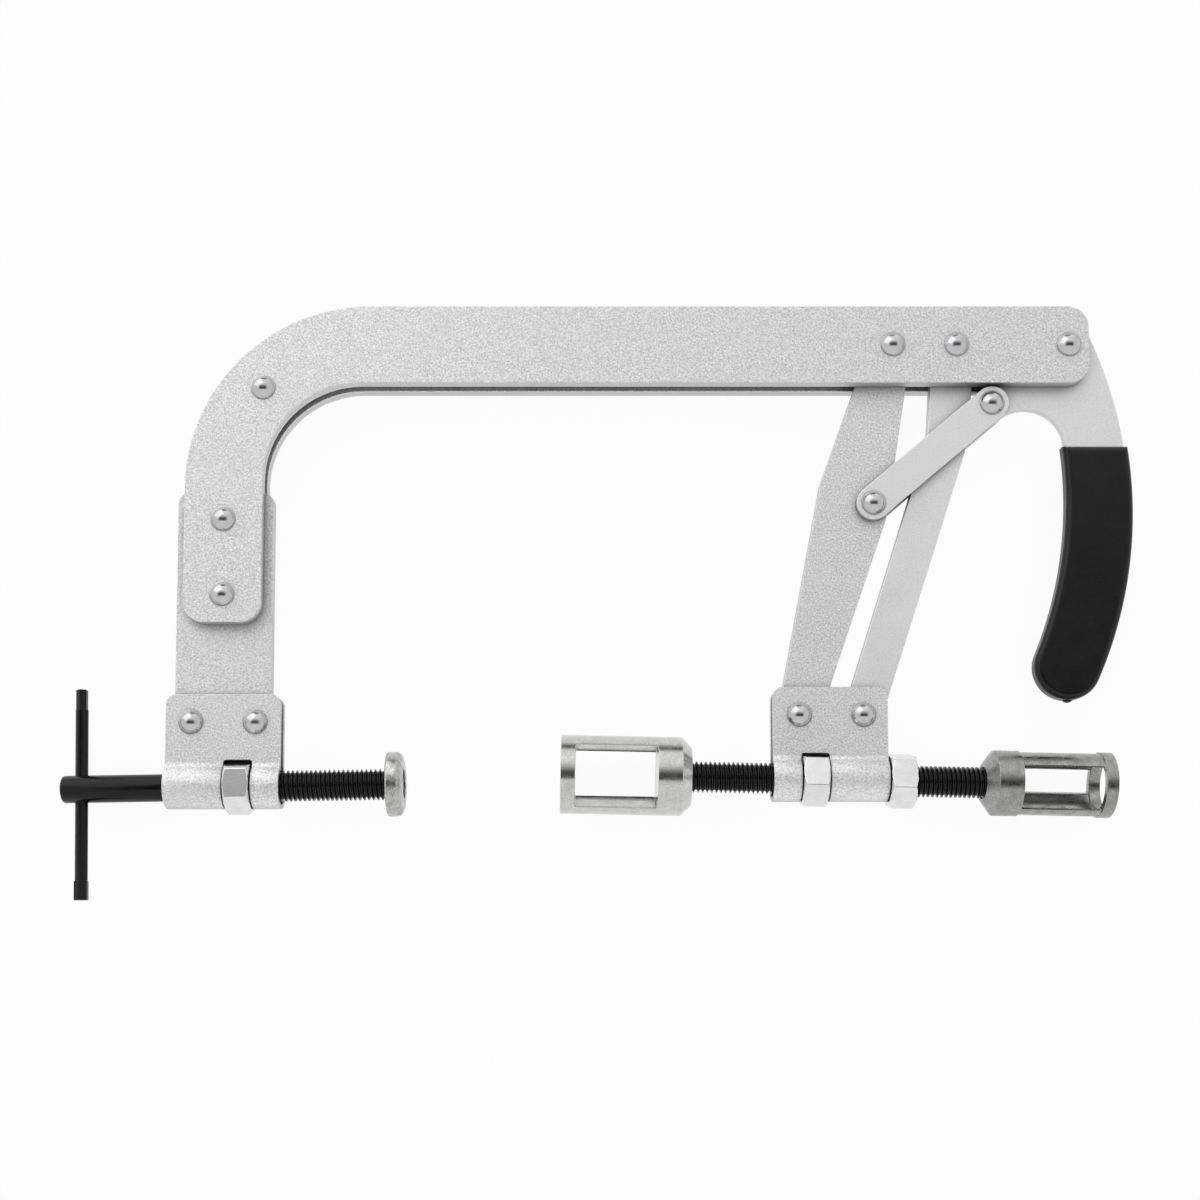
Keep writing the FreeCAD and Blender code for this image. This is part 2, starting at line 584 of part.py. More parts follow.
def build():
    """Every sub-part by name, in the drawing plane."""
    blade = handle_plate()
    jaw_rivets = [INNER_FOOT, OUTER_FOOT]
    parts = {
        "frame_plate_front": frame_plate(1),
        "frame_plate_rear": frame_plate(-1),
        "corner_spacer": corner_spacer(),
        "corner_rivet": rivet(CORNER_RIVET, FRAME_Z),
        "leg_rivet_upper": rivet(LEG_RIVET_UPPER, FRAME_Z),
        "leg_rivet_lower": rivet(LEG_RIVET_LOWER, FRAME_Z),
        "leg_extension": leg_extension(),
        "anvil_bracket": bracket(ANVIL_MID_X, ANVIL_AXIS_Y, ANVIL_WINDOW_X, ANVIL_NUT_TURN, ANVIL_RIVETS),
        "anvil_rivet_outer": rivet(ANVIL_RIVETS[0], FLAP_Z),
        "anvil_rivet_inner": rivet(ANVIL_RIVETS[1], FLAP_Z),
        "anvil_nut": nut(ANVIL_WINDOW_X - NUT_H / 2, ANVIL_AXIS_Y, ANVIL_NUT_TURN),
        "inner_arm_pivot": rivet(INNER_PIVOT, FRAME_Z),
        "outer_arm_pivot": rivet(OUTER_PIVOT, FRAME_Z),
        "handle_pivot": rivet(HANDLE_PIVOT, FRAME_Z),
        "spindle": spindle(),
        "tommy_bar": tommy_bar(),
        "swivel_pad": swivel_pad(),
        "inner_arm": inner_arm(),
        "outer_arm": outer_arm(),
        "link_front": link(1),
        "link_rear": link(-1),
        "link_arm_rivet": rivet(LINK_ARM_PIVOT, LINK_Z),
        "link_handle_rivet_front": half_rivet(LINK_HANDLE_PIVOT, 1),
        "link_handle_rivet_rear": half_rivet(LINK_HANDLE_PIVOT, -1),
        "link_handle_pin": Part.makeCylinder(RIVET_R, MOVING_T, point(LINK_HANDLE_PIVOT, -MOVING_T / 2), Z_AXIS),
        "handle_plate": blade,
        "handle_grip": handle_grip(blade),
        "jaw_bracket": bracket(JAW_MID_X, JAW_AXIS_Y, JAW_WINDOW_X, JAW_NUT_TURN, jaw_rivets),
        "jaw_rivet_inner": rivet(INNER_FOOT, FLAP_Z),
        "jaw_rivet_outer": rivet(OUTER_FOOT, FLAP_Z),
        "jaw_nut": nut(JAW_WINDOW_X - NUT_H / 2, JAW_AXIS_Y, JAW_NUT_TURN),
        "jam_nut": nut(JAM_NUT_X, JAW_AXIS_Y, JAM_NUT_TURN),
        "threaded_rod": threaded_rod(),
        "adapter_large": adapter(LARGE),
        "adapter_small": adapter(SMALL),
    }
    for name in ("anvil_nut", "spindle", "tommy_bar", "swivel_pad"):
        lean(parts[name], ANVIL_NUT, SPINDLE_LEAN)
    for name in ("jaw_nut", "jam_nut", "threaded_rod", "adapter_large", "adapter_small"):
        lean(parts[name], JAW_NUT, ROD_LEAN)
    return parts


os.makedirs("parts", exist_ok=True)
parts = build()
whole = Part.makeCompound(list(parts.values())).optimalBoundingBox()
ORIGIN = Vector(whole.Center.x, whole.Center.y, whole.ZMin)
for name, shape in parts.items():
    shape.translate(ORIGIN * -1)
    shape.exportStep("parts/" + name + ".step")
    print(name, len(shape.Solids), "solid", round(shape.Volume), "mm3", "valid" if shape.isValid() else "INVALID")
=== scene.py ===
import json
import math
import bmesh
import bpy
from bpy.props import FloatProperty, FloatVectorProperty, PointerProperty
from bpy.types import Operator, Panel, PropertyGroup
from mathutils import Matrix, Vector


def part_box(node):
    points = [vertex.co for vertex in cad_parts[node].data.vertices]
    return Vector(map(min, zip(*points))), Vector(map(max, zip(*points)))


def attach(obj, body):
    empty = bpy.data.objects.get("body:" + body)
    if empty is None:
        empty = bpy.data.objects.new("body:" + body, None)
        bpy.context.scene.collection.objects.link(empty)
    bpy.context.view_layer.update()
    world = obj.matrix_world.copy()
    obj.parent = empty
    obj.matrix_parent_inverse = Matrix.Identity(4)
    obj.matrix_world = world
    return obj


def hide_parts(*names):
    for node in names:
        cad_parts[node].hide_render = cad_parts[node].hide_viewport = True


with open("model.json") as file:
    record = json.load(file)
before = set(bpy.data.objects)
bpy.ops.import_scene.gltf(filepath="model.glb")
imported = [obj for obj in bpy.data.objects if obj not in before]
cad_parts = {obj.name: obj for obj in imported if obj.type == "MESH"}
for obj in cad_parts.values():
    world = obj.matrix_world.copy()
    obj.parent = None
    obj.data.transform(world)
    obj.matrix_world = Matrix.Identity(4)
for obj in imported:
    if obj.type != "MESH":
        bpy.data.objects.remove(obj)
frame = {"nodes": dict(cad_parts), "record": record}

bl_info = {
    "name": "Valve spring compressor",
    "version": (1, 0, 0),
    "blender": (4, 5, 0),
    "location": "3D View > Sidebar > Compressor",
    "description": "Finishes the plates, rivets, screws, nuts, adapters and grip, and sets the stage",
    "category": "Object",
}

RECORD = frame["record"]
BODY_OF = {node: body for body, nodes in RECORD["behaviour"]["bodies"].items() for node in nodes}
JOINT = {joint["name"]: joint for joint in RECORD["behaviour"]["joints"]}

SATIN_PLATES = ("frame_plate_front", "frame_plate_rear", "leg_extension", "inner_arm")
SMOOTH_PLATES = ("outer_arm", "link_front", "link_rear", "handle_plate", "corner_spacer")
BRACKETS = ("anvil_bracket", "jaw_bracket")
RIVETS = ("corner_rivet", "leg_rivet_upper", "leg_rivet_lower", "anvil_rivet_outer",
          "anvil_rivet_inner", "inner_arm_pivot", "outer_arm_pivot", "handle_pivot", "link_arm_rivet",
          "jaw_rivet_inner", "jaw_rivet_outer")
# Rivets with one head, and the side of it: +1 towards the camera, -1 away from it
HALF_RIVETS = {"link_handle_rivet_front": 1, "link_handle_rivet_rear": -1}

UP = Vector((0, 0, 1))
# Height of the tool's mid-plane, in metres
MID_Z = JOINT["handle_swing"]["pos_m"][2]
WHITE = (1.0, 1.0, 1.0, 1.0)
# Corners nearer to each other than this are one, in metres
SAME_POINT = 0.000002
# Edges that bend more than this are sharp, in degrees
SHARP = 35.0
# Colour sockets of a Mix node, whose labels are also those of its number sockets
MIX_A, MIX_B, MIX_RESULT = 6, 7, 2


def length(name, value, text):
    return FloatProperty(name=name, description=text, default=value, unit="LENGTH",
                         subtype="DISTANCE", precision=5)


def degrees(name, value, text):
    return FloatProperty(name=name, description=text, default=math.radians(value), subtype="ANGLE")


def number(name, value, text, **limits):
    return FloatProperty(name=name, description=text, default=value, **limits)


def colour(name, value, text):
    return FloatVectorProperty(name=name, description=text, default=value, subtype="COLOR", size=3,
                               min=0.0, max=1.0)


class CompressorSizes(PropertyGroup):
    plate_edge: length("Plate edge", 0.00030, "Rounding of the sheared plate edges")
    sheet_edge: length("Sheet edge", 0.00022, "Rounding of the folded sheet's edges")
    thread_pitch: length("Thread pitch", 0.00175, "Axial distance between two thread crests")
    thread_crest: length("Thread crest", 0.00598, "Radius of the thread at its crests")
    thread_depth: length("Thread depth", 0.00107, "Height of the thread from root to crest")
    thread_chamfer: length("Thread chamfer", 0.0010, "Chamfer at the ends of the threads")
    shank_radius: length("Shank radius", 0.00525, "Radius of the spindle's plain end")
    bar_hole_inset: length("Bar hole inset", 0.0070, "From the spindle's end to the tommy bar's axis")
    bar_hole_radius: length("Bar hole radius", 0.00245, "Radius of the cross hole for the tommy bar")
    shank_length: length("Shank length", 0.0403, "From the spindle's end to the start of its thread")
    neck_length: length("Neck length", 0.0060, "From the thread's end to the peened end")
    neck_radius: length("Neck radius", 0.0032, "Radius of the neck inside the pad")
    peen_radius: length("Peen radius", 0.0042, "Radius of the peened end")
    peen_height: length("Peen height", 0.0016, "Height of the peened end")
    bar_edge: length("Bar edge", 0.00025, "Rounding of the tommy bar's edges")
    rivet_shank: length("Rivet shank", 0.0027, "Radius of a rivet's shank")
    rivet_head: length("Rivet head height", 0.0030, "Height of a rivet head above its plate")
    rivet_rim: length("Rivet rim", 0.00045, "Thickness of the rim round a rivet head")
    rivet_ledge: length("Rivet ledge", 0.00035, "Width of the rim round a rivet head's dome")
    nut_across: length("Nut across flats", 0.0190, "Width of a nut across its flats")
    nut_edge: length("Nut edge", 0.00036, "Rounding of the hexagon nuts' edges")
    nut_bore: length("Nut bore", 0.00605, "Radius of the nuts' threaded hole")
    socket_radius: length("Socket radius", 0.00608, "Radius of the adapters' sockets for the rod")
    socket_depth: length("Socket depth", 0.0105, "Depth of the adapters' sockets for the rod")
    window_corner: length("Window corner", 0.0008, "Radius of the adapter windows' corners")
    adapter_edge: length("Adapter edge", 0.00022, "Rounding of the adapters' edges")
    pad_bore: length("Pad bore", 0.0033, "Radius of the pad's hole for the spindle's neck")
    pad_rim: length("Pad rim", 0.0038, "Thickness of the pad at its rim")
    pad_flat: length("Pad flat", 0.0082, "Radius of the pad's flat face")
    pad_recess: length("Pad recess", 0.0056, "Radius of the recess in the pad's face")
    pad_recess_depth: length("Pad recess depth", 0.0022, "Depth of the recess in the pad's face")
    pad_corner: length("Pad corner", 0.0010, "Rounding of the pad's back edge")
    pad_edge: length("Pad edge", 0.00025, "Rounding of the pad's sharp edges")


def adapter_sizes(mouth_bore, ring, window, front_half, rear_half, waist, nose_radius, turn):
    """The sizes that both adapters have, with one adapter's own defaults."""
    return {
        "mouth_bore": length("Mouth bore", mouth_bore, "Radius of the mouth"),
        "bore_relief": length("Bore relief", 0.0003, "How much wider the bore is behind the mouth"),
        "ring": length("Ring", ring, "Length of the ring at the mouth"),
        "window": length("Window", window, "Length of the windows"),
        "front_half": length("Front window half width", front_half, "Half the wide window's width"),
        "rear_half": length("Rear window half width", rear_half, "Half the narrow window's width"),
        "waist": length("Waist relief", waist, "How far the tube stands back between its ends"),
        "nose": length("Nose", 0.0038, "Length of the tapered nose"),
        "nose_radius": length("Nose radius", nose_radius, "Radius of the nose's flat end"),
        "turn": degrees("Turn", turn, "How far the adapter is turned about the rod"),
    }


class LargeAdapterSizes(PropertyGroup):
    __annotations__ = adapter_sizes(mouth_bore=0.0120, ring=0.0055, window=0.0310, front_half=0.0118,
                                    rear_half=0.0089, waist=0.0, nose_radius=0.0113, turn=10.0)


class SmallAdapterSizes(PropertyGroup):
    __annotations__ = adapter_sizes(mouth_bore=0.0095, ring=0.0045, window=0.0306, front_half=0.0083,
                                    rear_half=0.0046, waist=0.0005, nose_radius=0.0074, turn=-14.5)


class CompressorColours(PropertyGroup):
    satin_plate: colour("Satin plate", (0.82, 0.82, 0.82), "Plated steel over a blasted grain")
    smooth_plate: colour("Smooth plate", (0.89, 0.89, 0.89), "Plated steel over a smooth sheet")
    rivet_steel: colour("Rivet", (0.58, 0.58, 0.59), "Polished rivet heads")
    bright_zinc: colour("Bright zinc", (0.80, 0.80, 0.805), "Nuts")
    dull_zinc: colour("Dull zinc", (0.46, 0.46, 0.455), "Swivel pad")
    turned_steel: colour("Turned steel", (0.62, 0.62, 0.61), "Large windowed adapter")
    scuffed_steel: colour("Scuffed steel", (0.40, 0.40, 0.395), "Small windowed adapter")
    black_oxide: colour("Black oxide", (0.005, 0.005, 0.0054), "Screws and tommy bar")
    vinyl: colour("Vinyl", (0.0035, 0.0035, 0.0037), "Dipped grip")
    floor: colour("Floor", (0.93, 0.93, 0.93), "Studio floor")


class StageSettings(PropertyGroup):
    distance: length("Camera distance", 0.600, "From the camera to the tool's mid-plane")
    tilt: degrees("Camera tilt", 4.0, "How far the camera looks up from straight down")
    rise: number("Lens rise", 0.2, "Vertical shift of the lens", min=-0.5, max=0.5)
    slide: number("Lens slide", 0.019, "Sideways shift of the lens", min=-0.5, max=0.5)
    view_width: length("View width", 0.46104, "Width that the photograph shows at the mid-plane")
    centre_x: length("View centre X", -0.000191, "Place at the middle of the photograph")
    centre_y: length("View centre Y", 0.001297, "Place at the middle of the photograph")
    key_power: number("Key light", 4.8, "Power of the large softbox", min=0.0, unit="POWER")
    key_size: length("Key size", 1.5, "Width and height of the softbox")
    key_place: FloatVectorProperty(name="Key place", description="Middle of the softbox",
                                   default=(-0.85, 0.95, 0.80), subtype="TRANSLATION", unit="LENGTH")
    wall: number("Back wall", 1.08, "Brightness of the wall behind", min=0.0)
    board: number("Front board", 0.92, "Brightness of the reflector in front", min=0.0)
    board_edge: number("Board edge", 0.32, "How far the reflector's edge lies in front of overhead",
                       min=0.0, max=1.0)
    left_wall: number("Left wall", 0.90, "Brightness to the left", min=0.0)
    right_wall: number("Right wall", 0.88, "Brightness to the right", min=0.0)
    ceiling: number("Ceiling", 0.07, "Brightness of the dark place overhead", min=0.0)
    floor_half: length("Floor half width", 3.0, "Half the width of the floor")
    floor_white: number("Floor white", 0.93, "How white the floor is to the camera and in metal",
                        min=0.0, max=1.0)


# Mesh makers: points are (distance along the axis, distance from it), in metres

def ring_points(profile, steps):
    """Vertices of a turned form about X, one ring for each point of the profile."""
    points = []
    for x, radius in profile:
        for step in range(steps):
            turn = 2 * math.pi * step / steps
            points.append((x, radius * math.cos(turn), radius * math.sin(turn)))
    return points


def ring_faces(rings, steps, closed=False):
    """Faces between neighbouring rings; closed also joins the last ring to the first."""
    faces = []
    for ring in range(rings if closed else rings - 1):
        low = ring * steps
        high = (ring + 1) % rings * steps
        for step in range(steps):
            after = (step + 1) % steps
            faces.append((low + step, low + after, high + after, high + step))
    return faces


def turned(profile, steps=96):
    """Closed turned form about X: the profile's first and last points stand on the axis."""
    body = profile[1:-1]
    points = ring_points(body, steps) + [(profile[0][0], 0, 0), (profile[-1][0], 0, 0)]
    faces = ring_faces(len(body), steps)
    first = len(points) - 2
    last_ring = (len(body) - 1) * steps
    for step in range(steps):
        after = (step + 1) % steps
        faces.append((first, after, step))
        faces.append((first + 1, last_ring + step, last_ring + after))
    return points, faces


def pipe(profile, steps):
    """Closed turned form about X from a closed profile that stays clear of the axis."""
    return ring_points(profile, steps), ring_faces(len(profile), steps, closed=True)


def window_prism(start, end, half, low, high, corner):
    """Prism that cuts one window, with round corners in the tube's length and width."""
    outline = []
    steps = 4
    for x, y, first in ((end - corner, half - corner, 0), (start + corner, half - corner, 90),
                        (start + corner, corner - half, 180), (end - corner, corner - half, 270)):
        for step in range(steps + 1):
            angle = math.radians(first + 90 * step / steps)
            outline.append((x + corner * math.cos(angle), y + corner * math.sin(angle)))
    count = len(outline)
    points = [(x, y, low) for x, y in outline] + [(x, y, high) for x, y in outline]
    faces = [tuple(reversed(range(count))), tuple(range(count, 2 * count))]
    for index in range(count):
        after = (index + 1) % count
        faces.append((index, after, count + after, count + index))
    return points, faces


# A thread's groove from crest to crest: (share of the pitch, share of the depth)
GROOVE = ((0.06, 0.0), (0.36, 0.95), (0.5, 1.0), (0.64, 0.95), (0.94, 0.0))


def thread(start, end, sizes, steps=48):
    """Helical thread about X between two faces, closed by flat ends."""
    pitch = sizes.thread_pitch
    turns = int((end - start) / pitch) + 3
    rows = turns * len(GROOVE)
    points = []
    for row in range(rows + 1):
        share, drop = GROOVE[row % len(GROOVE)]
        for step in range(steps):
            x = start + (row // len(GROOVE) - 1 + share + step / steps) * pitch
            x = min(max(x, start), end)
            run = min(x - start, end - x)
            radius = min(sizes.thread_crest - sizes.thread_depth * drop,
                         sizes.thread_crest - sizes.thread_chamfer + run)
            turn = 2 * math.pi * step / steps
            points.append((x, radius * math.cos(turn), radius * math.sin(turn)))
    faces = []
    for row in range(rows - len(GROOVE)):
        for step in range(steps):
            here = row * steps + step
            after = here + 1 if step < steps - 1 else (row + len(GROOVE)) * steps
            faces.append((here, after, after + steps, here + steps))
    return points, faces


# A nut's turned chamfer: its slope, and how far it reaches in from the flats; and its countersink
CHAMFER_SLOPE = math.tan(math.radians(30))
CHAMFER_INSET = 0.0003
COUNTERSINK = 0.00045


def hexagon_nut(height, across, bore, turn, steps=96):
    """Hexagon nut about X with turned chamfers, a countersunk hole and a corner at the given turn."""
    face = across / 2 - CHAMFER_INSET
    sink = bore + COUNTERSINK
    points = []
    for step in range(steps):
        angle = 2 * math.pi * step / steps
        flat = math.fmod(angle, math.pi / 3) - math.pi / 6
        side = across / 2 / math.cos(flat)
        drop = (side - face) * CHAMFER_SLOPE
        column = ((0, sink), (0, face), (drop, side), (height - drop, side), (height, face),
                  (height, sink), (height - COUNTERSINK, bore), (COUNTERSINK, bore))
        for x, radius in column:
            points.append((x, radius * math.sin(angle + turn), radius * math.cos(angle + turn)))
    rings = len(column)
    faces = []
    for step in range(steps):
        low = step * rings
        high = (step + 1) % steps * rings
        for ring in range(rings):
            after = (ring + 1) % rings
            faces.append((low + ring, high + ring, high + after, low + after))
    return points, faces


def joined(*forms):
    """Several (points, faces) forms as one."""
    points = []
    faces = []
    for some_points, some_faces in forms:
        base = len(points)
        points.extend(some_points)
        faces.extend(tuple(index + base for index in face) for face in some_faces)
    return points, faces


def line_of(joint):
    """A joint's point and the direction of its axis."""
    return Vector(JOINT[joint]["pos_m"]), Vector(JOINT[joint]["axis"])


def along(origin, axis):
    """Matrix that takes the X axis to a line through the origin point."""
    ahead = axis.normalized()
    side = UP.cross(ahead).normalized()
    turn = Matrix((ahead, side, ahead.cross(side))).transposed()
    return Matrix.Translation(origin) @ turn.to_4x4()


def upright(origin):
    """Matrix that stands a form about X on a plate, with X pointing up."""
    return Matrix.Translation(origin) @ Matrix(((0, 0, 1), (0, 1, 0), (1, 0, 0))).to_4x4()


def reach(node, origin, axis):
    """How far a node goes along a line: its lowest and highest distances from the origin point."""
    ahead = axis.normalized()
    marks = [(vertex.co - origin).dot(ahead) for vertex in frame["nodes"][node].data.vertices]
    return min(marks), max(marks)


def outer_radius(node):
    """Radius of a turned node that lies along the screws, from its height."""
    low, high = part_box(node)
    return (high.z - low.z) / 2


def corner_turn(node, origin, axis):
    """Turn of a hexagon's corner about its axis, away from straight up and towards the back bar."""
    ahead = axis.normalized()
    best = Vector()
    for vertex in frame["nodes"][node].data.vertices:
        off = vertex.co - origin
        off -= ahead * off.dot(ahead)
        if off.length > best.length:
            best = off
    return math.atan2(best.dot(UP.cross(ahead)), best.z)


def placed(name, form, place):
    """Object whose mesh is a (points, faces) form taken to its place."""
    points, faces = form
    mesh = bpy.data.meshes.new(name)
    mesh.from_pydata([place @ Vector(point) for point in points], [], faces)
    thing = bpy.data.objects.new(name, mesh)
    bpy.context.scene.collection.objects.link(thing)
    return thing


def piece(name, form, place, material, node, sharp=SHARP):
    """Mesh piece that stands for a CAD node: it rides on its body and takes its material slot."""
    thing = placed(name, form, place)
    mesh = thing.data
    build = bmesh.new()
    build.from_mesh(mesh)
    bmesh.ops.remove_doubles(build, verts=build.verts, dist=SAME_POINT)
    bmesh.ops.dissolve_degenerate(build, edges=build.edges, dist=SAME_POINT)
    loose = [edge for edge in build.edges if edge.is_boundary]
    if loose:
        bmesh.ops.holes_fill(build, edges=loose, sides=0)
    bmesh.ops.recalc_face_normals(build, faces=build.faces)
    build.to_mesh(mesh)
    build.free()
    mesh.shade_smooth()
    mesh.set_sharp_from_angle(angle=math.radians(sharp))
    mesh.materials.append(material)
    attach(thing, BODY_OF[node])
    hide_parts(node)
    return thing


def cut(thing, forms, place):
    """Cuts closed forms out of a piece, and keeps the result as its mesh."""
    tools = [placed("cutter", form, place) for form in forms]
    for tool in tools:
        step = thing.modifiers.new("Cut", "BOOLEAN")
        step.operation = "DIFFERENCE"
        step.solver = "EXACT"
        step.object = tool
    bpy.context.view_layer.update()
    solid = thing.evaluated_get(bpy.context.evaluated_depsgraph_get())
    result = bpy.data.meshes.new_from_object(solid)
    thing.modifiers.clear()
    thing.data = result
    for tool in tools:
        bpy.data.objects.remove(tool)
    result.set_sharp_from_angle(angle=math.radians(SHARP))


def round_edges(thing, width, limit=30.0):
    """Small round along the sharp edges, after the seams of the solid's mesh are closed."""
    weld = thing.modifiers.new("Close seams", "WELD")
    weld.merge_threshold = SAME_POINT
    whole = thing.modifiers.new("Whole faces", "DECIMATE")
    whole.decimate_type = "DISSOLVE"
    whole.angle_limit = math.radians(0.6)
    bevel = thing.modifiers.new("Edge round", "BEVEL")
    bevel.width = width
    bevel.segments = 2
    bevel.limit_method = "ANGLE"
    bevel.angle_limit = math.radians(limit)
    bevel.use_clamp_overlap = False
    bevel.harden_normals = True


def dress(node, material):
    """Gives a CAD node its finish."""
    thing = frame["nodes"][node]
    thing.data.materials.clear()
    thing.data.materials.append(material)
    return thing


# Shared effects, each a shader node group that puts out masks and heights

def new_group(name, inputs, outputs):
    group = bpy.data.node_groups.new(name, "ShaderNodeTree")
    for label, value in inputs:
        socket = group.interface.new_socket(label, in_out="INPUT", socket_type="NodeSocketFloat")
        socket.default_value = value
    for label in outputs:
        group.interface.new_socket(label, in_out="OUTPUT", socket_type="NodeSocketFloat")
    return group, group.nodes.new("NodeGroupInput"), group.nodes.new("NodeGroupOutput")


def noise(group, vector, scale, detail, roughness):
    node = group.nodes.new("ShaderNodeTexNoise")
    node.inputs["Detail"].default_value = detail
    node.inputs["Roughness"].default_value = roughness
    group.links.new(vector, node.inputs["Vector"])
    group.links.new(scale, node.inputs["Scale"])
    return node.outputs["Fac"]


def object_place(group):
    return group.nodes.new("ShaderNodeTexCoord").outputs["Object"]


def components(tree, vector):
    """A vector's X, Y and Z."""
    node = tree.nodes.new("ShaderNodeSeparateXYZ")
    tree.links.new(vector, node.inputs["Vector"])
    return node.outputs


def reckoned(tree, operation, first, second=None):
    """Result of a sum on one value, or on a value and another value or a fixed number."""
    node = tree.nodes.new("ShaderNodeMath")
    node.operation = operation
    tree.links.new(first, node.inputs[0])
    if isinstance(second, float):
        node.inputs[1].default_value = second
    elif second is not None:
        tree.links.new(second, node.inputs[1])
    return node.outputs["Value"]


def spread(tree, value, low, high, low_result=0.0, high_result=1.0):
    """A value's range from low to high, taken to another range."""
    node = tree.nodes.new("ShaderNodeMapRange")
    for label, limit in (("From Min", low), ("From Max", high), ("To Min", low_result),
                         ("To Max", high_result)):
        node.inputs[label].default_value = limit
    tree.links.new(value, node.inputs["Value"])
    return node.outputs["Result"]


def blasted_grain():
    """Fine pits and peaks left by blasting: a height, and a mask of the brighter peaks."""
    group, source, result = new_group("Blasted grain", [("Scale", 3200.0)], ["Height", "Peaks"])
    grain = noise(group, object_place(group), source.outputs["Scale"], detail=3.0, roughness=0.65)
    group.links.new(grain, result.inputs["Height"])
    group.links.new(spread(group, grain, 0.36, 0.64), result.inputs["Peaks"])
    return group


def tool_marks():
    """Turning lines round an axis that runs along X: a height, and a mask of the lighter lines."""
    group, source, result = new_group("Tool marks", [("Scale", 900.0), ("Stretch", 0.04)],
                                      ["Height", "Lines"])
    parts = components(group, object_place(group))
    stretched = group.nodes.new("ShaderNodeCombineXYZ")
    group.links.new(parts["X"], stretched.inputs["X"])
    for axis in ("Y", "Z"):
        shrunk = reckoned(group, "MULTIPLY", parts[axis], source.outputs["Stretch"])
        group.links.new(shrunk, stretched.inputs[axis])
    lines = noise(group, stretched.outputs["Vector"], source.outputs["Scale"], detail=3.0,
                  roughness=0.6)
    group.links.new(lines, result.inputs["Height"])
    group.links.new(spread(group, lines, 0.40, 0.66), result.inputs["Lines"])
    return group


def handling():
    """Soft patches from handling and plating: a mask that changes slowly over the surface."""
    group, source, result = new_group("Handling", [("Scale", 60.0)], ["Patches"])
    patches = noise(group, object_place(group), source.outputs["Scale"], detail=4.0, roughness=0.55)
    group.links.new(spread(group, patches, 0.35, 0.65), result.inputs["Patches"])
    return group


def edge_wear_and_highlight():
    """Edges polished by use, with a painted highlight along them: a mask that is high within a small
    distance of an edge.
    """
    group, source, result = new_group("Edge wear and highlight", [("Width", 0.0003)], ["Edges"])
    rounded = group.nodes.new("ShaderNodeBevel")
    rounded.samples = 4
    group.links.new(source.outputs["Width"], rounded.inputs["Radius"])
    shape = group.nodes.new("ShaderNodeNewGeometry").outputs["Normal"]
    agree = group.nodes.new("ShaderNodeVectorMath")
    agree.operation = "DOT_PRODUCT"
    group.links.new(rounded.outputs["Normal"], agree.inputs[0])
    group.links.new(shape, agree.inputs[1])
    group.links.new(spread(group, agree.outputs["Value"], 0.99, 0.82), result.inputs["Edges"])
    return group


def sheared_and_shaded_sides():
    """The cut sides of a plate that lies flat: a mask that is high where it faces sideways, which
    paints shade on every sideways face as well as the duller sheared cut.
    """
    group, source, result = new_group("Sheared and shaded sides", [("Reach", 0.5)], ["Sides"])
    facing = group.nodes.new("ShaderNodeTexCoord").outputs["Normal"]
    height = reckoned(group, "ABSOLUTE", components(group, facing)["Z"])
    sides = spread(group, height, 0.0, 1.0, 1.0, 0.0)
    group.links.new(source.outputs["Reach"], sides.node.inputs["From Max"])
    group.links.new(sides, result.inputs["Sides"])
    return group


def crevice_shade():
    """Places that light hardly reaches, such as a rivet head's seat: a mask that is high there, which
    paints shade into them.
    """
    group, source, result = new_group("Crevice shade", [("Reach", 0.002)], ["Shaded depths"])
    hidden = group.nodes.new("ShaderNodeAmbientOcclusion")
    hidden.samples = 6
    group.links.new(source.outputs["Reach"], hidden.inputs["Distance"])
    group.links.new(spread(group, hidden.outputs["AO"], 0.75, 0.25), result.inputs["Shaded depths"])
    return group


def effect(name):
    """A shared effect, built the first time it is asked for."""
    makers = {"Blasted grain": blasted_grain, "Tool marks": tool_marks, "Handling": handling,
              "Edge wear and highlight": edge_wear_and_highlight, "Sheared and shaded sides": sheared_and_shaded_sides, "Crevice shade": crevice_shade}
    return bpy.data.node_groups.get(name) or makers[name]()


def shade(base, factor):
    """A colour made lighter or darker, as the shader's four numbers."""
    return tuple(min(1.0, part * factor) for part in base[:3]) + (1.0,)


class Finish:
    """One material under construction: a Principled shader and the effects that feed it."""

    def __init__(self, name, metallic, **constants):
        self.material = bpy.data.materials.new(name)
        self.material.use_nodes = True
        self.tree = self.material.node_tree
        self.shader = self.tree.nodes["Principled BSDF"]
        self.shader.inputs["Metallic"].default_value = metallic
        for label, value in constants.items():
            self.shader.inputs[label.replace("_", " ")].default_value = value

    def use(self, name, output, **values):
        node = self.tree.nodes.new("ShaderNodeGroup")
        node.node_tree = effect(name)
        for label, value in values.items():
            node.inputs[label].default_value = value
        return node.outputs[output]

    def tint(self, base, ground, *steps):
        """Base colour times ground, drawn by each mask towards the base times a factor."""
        current = None
        for mask, factor, amount in steps:
            mix = self.tree.nodes.new("ShaderNodeMix")
            mix.data_type = "RGBA"
            strength = reckoned(self.tree, "MULTIPLY", mask, amount)
            self.tree.links.new(strength, mix.inputs["Factor"])
            if current is None:
                mix.inputs[MIX_A].default_value = shade(base, ground)
            else:
                self.tree.links.new(current, mix.inputs[MIX_A])
            mix.inputs[MIX_B].default_value = shade(base, factor)
            current = mix.outputs[MIX_RESULT]
        self.tree.links.new(current, self.shader.inputs["Base Color"])

    def roughen(self, mask, low, high):
        self.tree.links.new(spread(self.tree, mask, 0.0, 1.0, low, high),
                            self.shader.inputs["Roughness"])

    def relief(self, height, depth, strength):
        bump = self.tree.nodes.new("ShaderNodeBump")
        bump.inputs["Distance"].default_value = depth
        bump.inputs["Strength"].default_value = strength
        self.tree.links.new(height, bump.inputs["Height"])
        self.tree.links.new(bump.outputs["Normal"], self.shader.inputs["Normal"])
